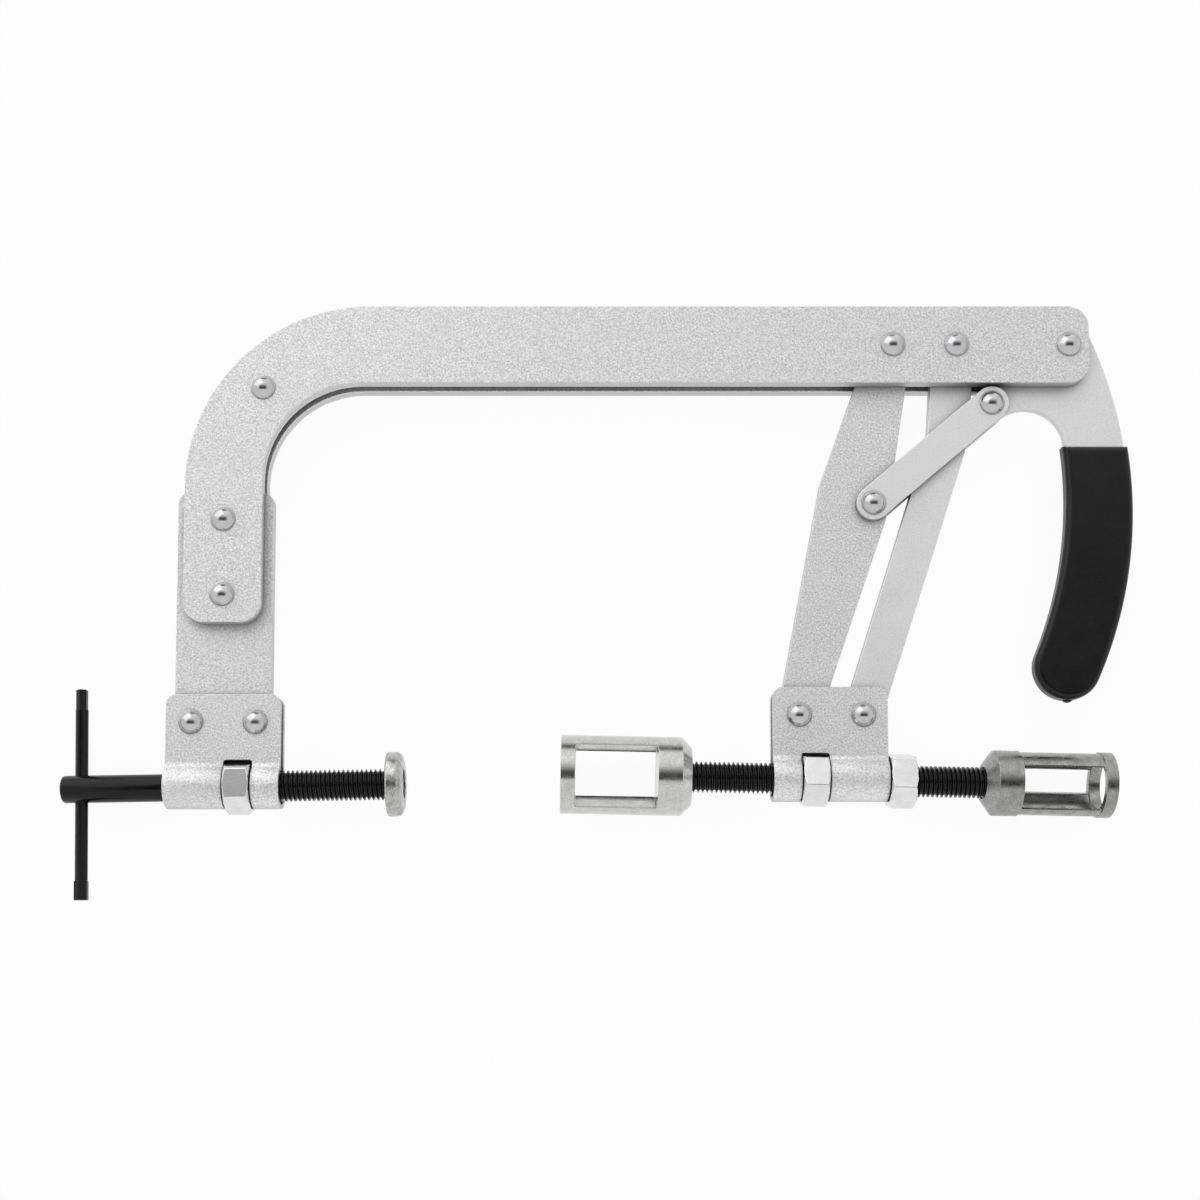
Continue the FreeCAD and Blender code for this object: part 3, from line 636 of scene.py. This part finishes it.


# In the finishes each mask stands with the factor of its colour and the amount of its pull. The edge
# mask paints a highlight along with the wear, and the sides and crevice masks paint shade.

def plated(name, base, ground, grain, peaks, patch, patches, sides, rough, relief):
    """Plated sheet with a grain, soft patches, painted shade on its duller sheared sides and in its
    crevices, and wear with a painted highlight along its edges.
    """
    finish = Finish(name, 1.0)
    patch_mask = finish.use("Handling", "Patches", Scale=patch)
    finish.tint(base, ground,
                (finish.use("Blasted grain", "Peaks", Scale=grain), *peaks),
                (patch_mask, *patches),
                (finish.use("Sheared and shaded sides", "Sides"), *sides),
                (finish.use("Edge wear and highlight", "Edges"), 1.25, 0.6),
                (finish.use("Crevice shade", "Shaded depths", Reach=0.010), 0.15, 0.9))
    finish.roughen(patch_mask, *rough)
    finish.relief(finish.use("Blasted grain", "Height", Scale=grain), *relief)
    return finish.material


def satin_plate(colours):
    return plated("Satin plate", colours.satin_plate, ground=0.72, grain=1500.0, peaks=(1.30, 1.0),
                  patch=45.0, patches=(0.95, 0.3), sides=(0.70, 0.8), rough=(0.54, 0.62),
                  relief=(0.00014, 0.9))


def smooth_plate(colours):
    return plated("Smooth plate", colours.smooth_plate, ground=0.90, grain=2000.0, peaks=(1.10, 0.9),
                  patch=70.0, patches=(0.95, 0.4), sides=(0.66, 0.8), rough=(0.52, 0.60),
                  relief=(0.00005, 0.5))


def rivet_steel(colours):
    finish = Finish("Rivet steel", 1.0)
    patches = finish.use("Handling", "Patches", Scale=420.0)
    edges = finish.use("Edge wear and highlight", "Edges")
    shaded_depths = finish.use("Crevice shade", "Shaded depths", Reach=0.0022)
    # The edge step paints a highlight along with the wear, and the crevice step paints shade round
    # the head's seat.
    finish.tint(colours.rivet_steel, 1.0, (patches, 0.82, 0.5), (edges, 1.2, 0.3),
                (shaded_depths, 0.06, 1.0))
    finish.roughen(patches, 0.13, 0.22)
    finish.relief(finish.use("Blasted grain", "Height", Scale=2400.0), 0.00002, 0.3)
    return finish.material


def bright_zinc(colours):
    finish = Finish("Bright zinc", 1.0)
    patches = finish.use("Handling", "Patches", Scale=260.0)
    edges = finish.use("Edge wear and highlight", "Edges")
    shaded_depths = finish.use("Crevice shade", "Shaded depths", Reach=0.0015)
    # The edge step paints a highlight along with the wear, and the crevice step paints shade into the
    # hollows.
    finish.tint(colours.bright_zinc, 1.0, (patches, 0.86, 0.6), (edges, 1.1, 0.3),
                (shaded_depths, 0.12, 0.9))
    finish.roughen(patches, 0.12, 0.20)
    finish.relief(finish.use("Handling", "Patches", Scale=900.0), 0.00002, 0.25)
    return finish.material


def dull_zinc(colours):
    finish = Finish("Dull zinc", 1.0)
    patches = finish.use("Handling", "Patches", Scale=520.0)
    peaks = finish.use("Blasted grain", "Peaks", Scale=1700.0)
    edges = finish.use("Edge wear and highlight", "Edges")
    # The edge step paints a highlight along with the wear.
    finish.tint(colours.dull_zinc, 1.12, (patches, 0.52, 0.8), (peaks, 1.45, 0.5),
                (edges, 1.6, 0.7))
    finish.roughen(patches, 0.20, 0.40)
    finish.relief(finish.use("Handling", "Patches", Scale=700.0), 0.00006, 0.5)
    return finish.material


def machined(name, base, scuffs, low, high):
    """Turned and milled steel; scuffs is how strongly handling has darkened it."""
    finish = Finish(name, 1.0)
    marks = {"Scale": 1500.0, "Stretch": 0.05}
    lines = finish.use("Tool marks", "Lines", **marks)
    patches = finish.use("Handling", "Patches", Scale=300.0)
    peaks = finish.use("Blasted grain", "Peaks", Scale=1700.0)
    edges = finish.use("Edge wear and highlight", "Edges")
    shaded_depths = finish.use("Crevice shade", "Shaded depths", Reach=0.003)
    # The edge step paints a highlight along with the wear, and the crevice step paints shade into the
    # hollows.
    finish.tint(base, 1.05, (lines, 1.22, 0.5), (patches, 0.75, scuffs),
                (peaks, 0.62, 0.3 + scuffs / 2), (edges, 1.7, 0.9), (shaded_depths, 0.25, 0.8))
    finish.roughen(patches, low, high)
    finish.relief(finish.use("Tool marks", "Height", **marks), 0.00003, 0.3)
    return finish.material


def turned_steel(colours):
    return machined("Turned steel", colours.turned_steel, scuffs=0.4, low=0.14, high=0.24)


def scuffed_steel(colours):
    return machined("Scuffed steel", colours.scuffed_steel, scuffs=1.0, low=0.16, high=0.34)


def black_oxide(colours):
    finish = Finish("Black oxide", 0.0, Specular_IOR_Level=0.22)
    patches = finish.use("Handling", "Patches", Scale=380.0)
    edges = finish.use("Edge wear and highlight", "Edges")
    # The edge step paints a highlight on the thread crests and edges along with the wear.
    finish.tint(colours.black_oxide, 0.8, (patches, 1.7, 0.5), (edges, 18.0, 0.6))
    finish.roughen(patches, 0.14, 0.24)
    finish.relief(finish.use("Blasted grain", "Height", Scale=2600.0), 0.00002, 0.3)
    return finish.material


def dipped_vinyl(colours):
    finish = Finish("Dipped vinyl", 0.0, Specular_IOR_Level=0.32)
    patches = finish.use("Handling", "Patches", Scale=90.0)
    specks = finish.use("Blasted grain", "Peaks", Scale=1300.0)
    finish.tint(colours.vinyl, 0.8, (patches, 1.3, 0.5), (specks, 2.2, 0.5))
    finish.roughen(patches, 0.20, 0.32)
    finish.relief(finish.use("Handling", "Patches", Scale=210.0), 0.00006, 0.3)
    return finish.material


def material_named(name, maker):
    return bpy.data.materials.get(name) or maker(bpy.context.scene.compressor_colours)


class COMPRESSOR_OT_plates(Operator):
    """Round the edges of the plates, arms, links and brackets, and finish them satin or smooth"""
    bl_idname = "compressor.plates"
    bl_label = "Plates, arms and links"

    def execute(self, context):
        sizes = context.scene.compressor_sizes
        satin = material_named("Satin plate", satin_plate)
        smooth = material_named("Smooth plate", smooth_plate)
        for nodes, material, edge in ((SATIN_PLATES, satin, sizes.plate_edge),
                                      (SMOOTH_PLATES, smooth, sizes.plate_edge),
                                      (BRACKETS, satin, sizes.sheet_edge)):
            for node in nodes:
                round_edges(dress(node, material), edge)
        return {"FINISHED"}


# Rivet head, in metres: round of the rim, rise and flare of the dome's foot, then the dome's steps
RIM_ROUND = 0.0001
FOOT_RISE = 0.00003
FOOT_FLARE = 0.00005
DOME_STEPS = 12


def head_profile(seat, side, radius, sizes):
    """Rivet head from its rim to its crown; side is +1 above the seat and -1 below it."""
    rim = sizes.rivet_rim
    inner = radius - sizes.rivet_ledge
    dome_h = sizes.rivet_head - rim
    ball = (inner ** 2 + dome_h ** 2) / (2 * dome_h)
    half = math.asin(min(1.0, inner / ball))
    points = [(seat, radius - RIM_ROUND), (seat + side * RIM_ROUND, radius),
              (seat + side * (rim - RIM_ROUND), radius), (seat + side * rim, radius - RIM_ROUND),
              (seat + side * (rim + FOOT_RISE), inner + FOOT_FLARE)]
    centre = seat + side * (sizes.rivet_head - ball)
    for index in range(1, DOME_STEPS + 1):
        angle = half * (1 - index / DOME_STEPS)
        points.append((centre + side * ball * math.cos(angle), ball * math.sin(angle)))
    return points


class COMPRESSOR_OT_rivets(Operator):
    """Make the rivets with domed heads, a thin rim and a shank"""
    bl_idname = "compressor.rivets"
    bl_label = "Rivets"

    def execute(self, context):
        sizes = context.scene.compressor_sizes
        steel = material_named("Rivet steel", rivet_steel)
        shank = sizes.rivet_shank
        for node in RIVETS + tuple(HALF_RIVETS):
            low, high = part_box(node)
            middle = (low + high) / 2
            radius = (high.x - low.x) / 2
            bottom = [(low.z, 0.0), (low.z, shank)]
            top = [(high.z, shank), (high.z, 0.0)]
            if HALF_RIVETS.get(node, -1) < 0:
                seat = low.z + sizes.rivet_head
                bottom = head_profile(seat, -1, radius, sizes)[::-1] + [(seat, shank)]
            if HALF_RIVETS.get(node, 1) > 0:
                seat = high.z - sizes.rivet_head
                top = [(seat, shank)] + head_profile(seat, 1, radius, sizes)
            place = upright(Vector((middle.x, middle.y, 0.0)))
            piece(node + "_rivet", turned(bottom + top, 64), place, steel, node)
        dress("link_handle_pin", steel)
        return {"FINISHED"}


class COMPRESSOR_OT_nuts(Operator):
    """Make the captive nuts and the jam nut with chamfered hexagons"""
    bl_idname = "compressor.nuts"
    bl_label = "Nuts"

    def execute(self, context):
        sizes = context.scene.compressor_sizes
        zinc = material_named("Bright zinc", bright_zinc)
        for node, joint in (("anvil_nut", "spindle_turn"), ("jaw_nut", "rod_turn"),
                            ("jam_nut", "rod_turn")):
            origin, axis = line_of(joint)
            start, end = reach(node, origin, axis)
            turn = corner_turn(node, origin, axis)
            form = hexagon_nut(end - start, sizes.nut_across, sizes.nut_bore, turn)
            place = along(origin + axis.normalized() * start, axis)
            nut = piece(node + "_hexagon", form, place, zinc, node, sharp=12.0)
            round_edges(nut, sizes.nut_edge, 20.0)
        return {"FINISHED"}


# Spindle, in metres. Round of its plain end: (run from the end, drop)
SHANK_ROUND = ((0.0, 0.0009), (0.0002, 0.0004), (0.0008, 0.0))
# Step from the shank down into the thread, then the core that the shank goes on as inside it
STEP_RUN = 0.0004
STEP_DROP = 0.0008
CORE_RUN = 0.003
CORE_RADIUS = 0.0048
# How far the neck reaches back into the thread, and half the length of the cross hole's cutter
NECK_OVERLAP = 0.001
HOLE_REACH = 0.01


class COMPRESSOR_OT_screws(Operator):
    """Make the spindle and the jaw's rod with real helical threads, and finish the tommy bar"""
    bl_idname = "compressor.screws"
    bl_label = "Screws and tommy bar"

    def execute(self, context):
        sizes = context.scene.compressor_sizes
        oxide = material_named("Black oxide", black_oxide)
        origin, axis = line_of("spindle_turn")
        start, end = reach("spindle", origin, axis)
        shank_end = start + sizes.shank_length
        shank_r = sizes.shank_radius
        thread_end = end - sizes.neck_length
        peen = end - sizes.peen_height
        shank = turned([(start, 0.0)] + [(start + run, shank_r - drop) for run, drop in SHANK_ROUND]
                       + [(shank_end, shank_r), (shank_end + STEP_RUN, shank_r - STEP_DROP),
                          (shank_end + CORE_RUN, CORE_RADIUS), (shank_end + CORE_RUN, 0.0)])
        neck_start = thread_end - NECK_OVERLAP
        neck = turned([(neck_start, 0.0), (neck_start, sizes.neck_radius), (peen, sizes.neck_radius),
                       (peen, sizes.peen_radius), (end - sizes.peen_height / 2, sizes.peen_radius),
                       (end, sizes.peen_radius / 2), (end, 0.0)], 48)
        form = joined(shank, thread(shank_end, thread_end, sizes), neck)
        spindle = piece("spindle_screw", form, along(origin, axis), oxide, "spindle")
        hole = turned([(-HOLE_REACH, 0.0), (-HOLE_REACH, sizes.bar_hole_radius),
                       (HOLE_REACH, sizes.bar_hole_radius), (HOLE_REACH, 0.0)], 64)
        hole_at = origin + axis * (start + sizes.bar_hole_inset)
        cut(spindle, [hole], along(hole_at, UP.cross(axis)))

        origin, axis = line_of("rod_turn")
        form = thread(*reach("threaded_rod", origin, axis), sizes)
        piece("jaw_rod_screw", form, along(origin, axis), oxide, "threaded_rod")
        round_edges(dress("tommy_bar", oxide), sizes.bar_edge, 25.0)
        return {"FINISHED"}


# Where the windows' cutters end inside the tube, in metres: they pass each other, because two that
# meet in one plane leave it uncut. Then how far they cut past the windows' ends.
FRONT_CUTTER_END = -0.0007
REAR_CUTTER_END = 0.0009
OVERCUT = 0.00003


def adapter(node, towards, own, sizes, steel):
    """Windowed adapter as a turned tube; towards is +1 where its mouth faces the rod's far end."""
    origin, axis = line_of("rod_turn")
    low, high = reach(node, origin, axis)
    mouth = origin + axis * (high if towards > 0 else low)
    place = along(mouth, -towards * axis) @ Matrix.Rotation(own.turn, 4, "X")
    whole = high - low
    outer = outer_radius(node)
    ring = own.ring
    tube_bore = own.mouth_bore + own.bore_relief
    waist = outer - own.waist
    bore_end = ring + own.window
    socket_floor = whole - sizes.socket_depth
    profile = [(bore_end, 0.0), (bore_end, tube_bore), (ring, tube_bore), (ring, own.mouth_bore),
               (0.0, own.mouth_bore), (0.0, outer), (ring, outer), (ring, waist), (bore_end, waist),
               (bore_end, outer), (whole - own.nose, outer), (whole, own.nose_radius),
               (whole, sizes.socket_radius), (socket_floor, sizes.socket_radius), (socket_floor, 0.0)]
    tube = piece(node + "_tube", turned(profile, 128), place, steel, node)
    ends = (ring - OVERCUT, bore_end + OVERCUT)
    corner = sizes.window_corner
    cut(tube, [window_prism(*ends, own.front_half, FRONT_CUTTER_END, 2 * outer, corner),
               window_prism(*ends, own.rear_half, -2 * outer, REAR_CUTTER_END, corner)], place)
    round_edges(tube, sizes.adapter_edge)


class COMPRESSOR_OT_adapters(Operator):
    """Make the windowed adapters as turned tubes with milled windows"""
    bl_idname = "compressor.adapters"
    bl_label = "Adapters"

    def execute(self, context):
        scene = context.scene
        sizes = scene.compressor_sizes
        adapter("adapter_large", -1, scene.large_adapter, sizes,
                material_named("Turned steel", turned_steel))
        adapter("adapter_small", 1, scene.small_adapter, sizes,
                material_named("Scuffed steel", scuffed_steel))
        return {"FINISHED"}


# Steps round the pad's back edge and over its dome
PAD_EDGE_STEPS = 4
PAD_DOME_STEPS = 10


class COMPRESSOR_OT_pad(Operator):
    """Make the swivel pad with its domed face and recess"""
    bl_idname = "compressor.pad"
    bl_label = "Swivel pad"

    def execute(self, context):
        sizes = context.scene.compressor_sizes
        origin, axis = line_of("spindle_turn")
        back, face = reach("swivel_pad", origin, axis)
        thick = face - back
        radius = outer_radius("swivel_pad")
        corner = sizes.pad_corner
        recess_floor = thick - sizes.pad_recess_depth
        profile = [(recess_floor, sizes.pad_bore), (0.0, sizes.pad_bore), (0.0, radius - corner)]
        for step in range(1, PAD_EDGE_STEPS + 1):
            angle = math.radians(90 * step / PAD_EDGE_STEPS)
            profile.append((corner - corner * math.cos(angle),
                            radius - corner + corner * math.sin(angle)))
        for step in range(PAD_DOME_STEPS + 1):
            angle = math.radians(90 * step / PAD_DOME_STEPS)
            profile.append((sizes.pad_rim + (thick - sizes.pad_rim) * math.sin(angle),
                            sizes.pad_flat + (radius - sizes.pad_flat) * math.cos(angle)))
        profile += [(thick, sizes.pad_recess), (recess_floor, sizes.pad_recess)]
        pad = piece("swivel_pad_disc", pipe(profile, 128), along(origin + axis * back, axis),
                    material_named("Dull zinc", dull_zinc), "swivel_pad")
        round_edges(pad, sizes.pad_edge, 40.0)
        return {"FINISHED"}


class COMPRESSOR_OT_grip(Operator):
    """Finish the dipped vinyl grip"""
    bl_idname = "compressor.grip"
    bl_label = "Grip"

    def execute(self, context):
        dress("handle_grip", material_named("Dipped vinyl", dipped_vinyl))
        return {"FINISHED"}


def floor_finish(base, whiteness):
    """Pale floor that keeps the object's shadow and shows as white to the camera and in metal."""
    material = bpy.data.materials.new("Studio floor")
    material.use_nodes = True
    tree = material.node_tree
    tree.nodes.clear()
    matt = tree.nodes.new("ShaderNodeBsdfDiffuse")
    matt.inputs["Color"].default_value = shade(base, 1.0)
    white = tree.nodes.new("ShaderNodeEmission")
    white.inputs["Color"].default_value = WHITE
    rays = tree.nodes.new("ShaderNodeLightPath").outputs
    total = rays["Is Camera Ray"]
    for kind in ("Is Glossy Ray", "Is Transmission Ray"):
        total = reckoned(tree, "MAXIMUM", total, rays[kind])
    mix = tree.nodes.new("ShaderNodeMixShader")
    tree.links.new(reckoned(tree, "MULTIPLY", total, whiteness), mix.inputs["Fac"])
    tree.links.new(matt.outputs["BSDF"], mix.inputs[1])
    tree.links.new(white.outputs["Emission"], mix.inputs[2])
    result = tree.nodes.new("ShaderNodeOutputMaterial")
    tree.links.new(mix.outputs["Shader"], result.inputs["Surface"])
    return material


def softbox(name, place, size, power):
    """Large square lamp that looks at the origin."""
    lamp = bpy.data.lights.new(name, "AREA")
    lamp.size = size
    lamp.energy = power
    thing = bpy.data.objects.new(name, lamp)
    thing.location = place
    thing.rotation_euler = (-Vector(place)).to_track_quat("-Z", "Y").to_euler()
    bpy.context.scene.collection.objects.link(thing)


# The surround from front (0) to back (1): how soon a board's edge fades, where the dark overhead
# ends, and how the back wall rises from there, as (position, share of its brightness)
EDGE_FADE = 0.01
DARK_END = 0.52
WALL_RISE = ((0.61, 0.42), (0.72, 0.90), (0.84, 1.0), (0.975, 1.0))


def surround_strength(tree, stage):
    """Brightness by direction: back wall, front board, dark overhead, and white to the camera."""
    parts = components(tree, tree.nodes.new("ShaderNodeTexCoord").outputs["Generated"])
    band = tree.nodes.new("ShaderNodeValToRGB")
    board_end = 0.5 - stage.board_edge / 2
    wall_end = WALL_RISE[-1][0] + EDGE_FADE
    steps = [(board_end, stage.board), (board_end + EDGE_FADE, stage.ceiling),
             (DARK_END, stage.ceiling)]
    steps += [(position, share * stage.wall) for position, share in WALL_RISE]
    steps.append((wall_end, 2 * stage.ceiling))
    marks = band.color_ramp.elements
    marks.remove(marks[1])
    marks[0].color = (stage.board, stage.board, stage.board, 1.0)
    for position, level in steps:
        marks.new(position).color = (level, level, level, 1.0)
    tree.links.new(spread(tree, parts["Y"], -1.0, 1.0), band.inputs["Fac"])
    wings = spread(tree, reckoned(tree, "ABSOLUTE", parts["X"]), 0.38, 0.72)
    wings.node.interpolation_type = "SMOOTHSTEP"
    walls = spread(tree, parts["X"], -0.6, 0.6, stage.left_wall, stage.right_wall)
    blend = tree.nodes.new("ShaderNodeMix")
    tree.links.new(wings, blend.inputs["Factor"])
    tree.links.new(band.outputs["Color"], blend.inputs["A"])
    tree.links.new(walls, blend.inputs["B"])
    seen = tree.nodes.new("ShaderNodeMix")
    seen.inputs["B"].default_value = 1.0
    rays = tree.nodes.new("ShaderNodeLightPath").outputs
    tree.links.new(rays["Is Camera Ray"], seen.inputs["Factor"])
    tree.links.new(blend.outputs["Result"], seen.inputs["A"])
    return seen.outputs["Result"]


class COMPRESSOR_OT_stage(Operator):
    """Set the floor, the softbox, the surround and the camera"""
    bl_idname = "compressor.stage"
    bl_label = "Stage"

    def execute(self, context):
        scene = context.scene
        stage = scene.compressor_stage
        half = stage.floor_half
        corners = [(-half, -half, 0), (half, -half, 0), (half, half, 0), (-half, half, 0)]
        floor = placed("studio_floor", (corners, [(0, 1, 2, 3)]), Matrix())
        floor.data.materials.append(floor_finish(scene.compressor_colours.floor, stage.floor_white))

        world = bpy.data.worlds.new("Studio")
        world.use_nodes = True
        tree = world.node_tree
        surround = tree.nodes["Background"]
        surround.inputs["Color"].default_value = WHITE
        tree.links.new(surround_strength(tree, stage), surround.inputs["Strength"])
        scene.world = world
        softbox("Key softbox", stage.key_place, stage.key_size, stage.key_power)

        width = stage.view_width
        look = Vector((0, math.sin(stage.tilt), -math.cos(stage.tilt)))
        rise = Vector((0, math.cos(stage.tilt), math.sin(stage.tilt))) * stage.rise * width
        slide = Vector((stage.slide * width, 0, 0))
        target = Vector((stage.centre_x, stage.centre_y, MID_Z))
        data = bpy.data.cameras.new("Camera")
        data.sensor_width = 36.0
        data.lens = data.sensor_width * stage.distance / width
        data.shift_x = stage.slide
        data.shift_y = stage.rise
        data.clip_start = 0.01
        camera = bpy.data.objects.new("Camera", data)
        camera.rotation_euler = (stage.tilt, 0, 0)
        camera.location = target - look * stage.distance - rise - slide
        scene.collection.objects.link(camera)
        scene.camera = camera
        scene.view_settings.view_transform = "Standard"
        return {"FINISHED"}


class COMPRESSOR_PT_panel(Panel):
    """Buttons and settings of the valve spring compressor"""
    bl_idname = "COMPRESSOR_PT_panel"
    bl_label = "Valve spring compressor"
    bl_space_type = "VIEW_3D"
    bl_region_type = "UI"
    bl_category = "Compressor"

    def draw(self, context):
        for operator in OPERATORS:
            self.layout.operator(operator.bl_idname, text=operator.bl_label)
        scene = context.scene
        for group in (scene.compressor_sizes, scene.large_adapter, scene.small_adapter,
                      scene.compressor_colours, scene.compressor_stage):
            box = self.layout.box()
            for name in group.__annotations__:
                box.prop(group, name)


OPERATORS = (COMPRESSOR_OT_plates, COMPRESSOR_OT_rivets, COMPRESSOR_OT_nuts, COMPRESSOR_OT_screws,
             COMPRESSOR_OT_adapters, COMPRESSOR_OT_pad, COMPRESSOR_OT_grip, COMPRESSOR_OT_stage)
GROUPS = (CompressorSizes, LargeAdapterSizes, SmallAdapterSizes, CompressorColours, StageSettings)


def register():
    for item in GROUPS + OPERATORS + (COMPRESSOR_PT_panel,):
        bpy.utils.register_class(item)
    bpy.types.Scene.compressor_sizes = PointerProperty(type=CompressorSizes)
    bpy.types.Scene.large_adapter = PointerProperty(type=LargeAdapterSizes)
    bpy.types.Scene.small_adapter = PointerProperty(type=SmallAdapterSizes)
    bpy.types.Scene.compressor_colours = PointerProperty(type=CompressorColours)
    bpy.types.Scene.compressor_stage = PointerProperty(type=StageSettings)


def unregister():
    del bpy.types.Scene.compressor_stage
    del bpy.types.Scene.compressor_colours
    del bpy.types.Scene.small_adapter
    del bpy.types.Scene.large_adapter
    del bpy.types.Scene.compressor_sizes
    for item in reversed(GROUPS + OPERATORS + (COMPRESSOR_PT_panel,)):
        bpy.utils.unregister_class(item)


def main():
    register()
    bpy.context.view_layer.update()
    bpy.ops.compressor.plates()
    bpy.ops.compressor.rivets()
    bpy.ops.compressor.nuts()
    bpy.ops.compressor.screws()
    bpy.ops.compressor.adapters()
    bpy.ops.compressor.pad()
    bpy.ops.compressor.grip()
    bpy.ops.compressor.stage()


if __name__ == "__main__":
    main()
